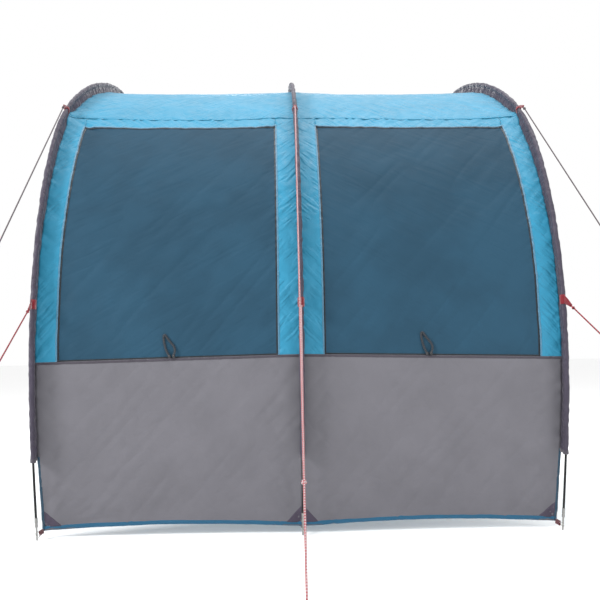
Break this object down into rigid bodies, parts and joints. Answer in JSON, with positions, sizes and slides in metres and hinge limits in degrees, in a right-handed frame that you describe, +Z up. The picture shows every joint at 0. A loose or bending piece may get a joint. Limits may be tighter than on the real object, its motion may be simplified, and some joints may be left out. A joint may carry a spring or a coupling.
{
  "type": "tunnel tent",
  "caption": "Open-ended tunnel tent: sleeved fibreglass arches, blue roof and window walls, grey skirts and guylines.",
  "frame": {"origin": "on the ground under the middle of the centre arch", "axes": "+X along the tunnel, +Y from the front wall to the rear wall, +Z up"},
  "size_m": [2.0694, 4.2511, 2.0111],
  "materials": {
    "canopy_fabric": "thin coated polyester taffeta, satin sheen",
    "skirt_fabric": "thin coated polyester taffeta, dull satin",
    "sleeve_fabric": "woven polyester sleeve, matte",
    "window_mesh": "fine insect mesh, matte",
    "pole_fibreglass": "smooth pultruded fibreglass rod",
    "tip_steel": "drawn steel tube",
    "red_webbing": "woven narrow webbing",
    "guyline_cord": "braided cord with pale tracers",
    "loop_cord": "braided elastic cord",
    "runner_plastic": "moulded plastic"
  },
  "bodies": {
    "tent": {"centre_front_foot_strap": "red_webbing", "centre_front_pole_tip": "tip_steel", "centre_middle_guy_tab": "red_webbing", "centre_middle_guyline": "guyline_cord", "centre_pole_bow": "pole_fibreglass", "centre_pole_front_leg": "pole_fibreglass", "centre_pole_rear_leg": "pole_fibreglass", "centre_pole_sleeve": "sleeve_fabric", "centre_rear_foot_strap": "red_webbing", "centre_rear_pole_tip": "tip_steel", "centre_upper_guy_loop": "guyline_cord", "centre_upper_guy_tab": "red_webbing", "centre_upper_guyline": "guyline_cord", "front_frame_left": "canopy_fabric", "front_frame_right": "canopy_fabric", "front_skirt_left": "skirt_fabric", "front_skirt_right": "skirt_fabric", "left_front_foot_strap": "red_webbing", "left_front_pole_tip": "tip_steel", "left_middle_guy_loop": "guyline_cord", "left_middle_guy_tab": "red_webbing", "left_middle_guyline": "guyline_cord", "left_pole_bow": "pole_fibreglass", "left_pole_front_leg": "pole_fibreglass", "left_pole_rear_leg": "pole_fibreglass", "left_pole_sleeve": "sleeve_fabric", "left_rear_foot_strap": "red_webbing", "left_rear_pole_tip": "tip_steel", "left_upper_guy_loop": "guyline_cord", "left_upper_guy_tab": "red_webbing", "left_upper_guyline": "guyline_cord", "rear_skirt_left": "skirt_fabric", "rear_skirt_right": "skirt_fabric", "rear_wall_left": "canopy_fabric", "rear_wall_right": "canopy_fabric", "right_front_foot_strap": "red_webbing", "right_front_pole_tip": "tip_steel", "right_middle_guy_loop": "guyline_cord", "right_middle_guy_tab": "red_webbing", "right_middle_guyline": "guyline_cord", "right_pole_bow": "pole_fibreglass", "right_pole_front_leg": "pole_fibreglass", "right_pole_rear_leg": "pole_fibreglass", "right_pole_sleeve": "sleeve_fabric", "right_rear_foot_strap": "red_webbing", "right_rear_pole_tip": "tip_steel", "right_upper_guy_loop": "guyline_cord", "right_upper_guy_tab": "red_webbing", "right_upper_guyline": "guyline_cord", "roof_canopy": "canopy_fabric", "window_mesh_left": "window_mesh", "window_mesh_right": "window_mesh"},
    "left_upper_runner": {"left_upper_runner": "runner_plastic"},
    "left_middle_runner": {"left_middle_runner": "runner_plastic"},
    "centre_upper_runner": {"centre_upper_runner": "runner_plastic"},
    "right_upper_runner": {"right_upper_runner": "runner_plastic"},
    "right_middle_runner": {"right_middle_runner": "runner_plastic"},
    "window_loop_left": {"window_loop_left": "loop_cord"},
    "window_loop_right": {"window_loop_right": "loop_cord"}
  },
  "joints": [
    {"name": "left_upper_runner_slide", "type": "slide", "parent": "tent", "child": "left_upper_runner", "axis": [-0.0314, -0.7139, -0.6995], "range_m": [-0.12, 0.03]},
    {"name": "left_middle_runner_slide", "type": "slide", "parent": "tent", "child": "left_middle_runner", "axis": [-0.032, -0.8291, -0.5582], "range_m": [-0.12, 0.03]},
    {"name": "centre_upper_runner_slide", "type": "slide", "parent": "tent", "child": "centre_upper_runner", "axis": [-0.0199, -0.7577, -0.6524], "range_m": [-0.12, 0.03]},
    {"name": "right_upper_runner_slide", "type": "slide", "parent": "tent", "child": "right_upper_runner", "axis": [0.176, -0.5918, -0.7866], "range_m": [-0.12, 0.03]},
    {"name": "right_middle_runner_slide", "type": "slide", "parent": "tent", "child": "right_middle_runner", "axis": [0.3634, -0.6666, -0.6509], "range_m": [-0.12, 0.03]},
    {"name": "window_loop_left_swing", "type": "hinge", "parent": "tent", "child": "window_loop_left", "pos_m": [-0.46, -1.36494, 0.63692], "axis": [1, 0, 0], "range_deg": [0, 150]},
    {"name": "window_loop_right_swing", "type": "hinge", "parent": "tent", "child": "window_loop_right", "pos_m": [0.46, -1.36494, 0.63692], "axis": [1, 0, 0], "range_deg": [0, 150]}
  ]
}
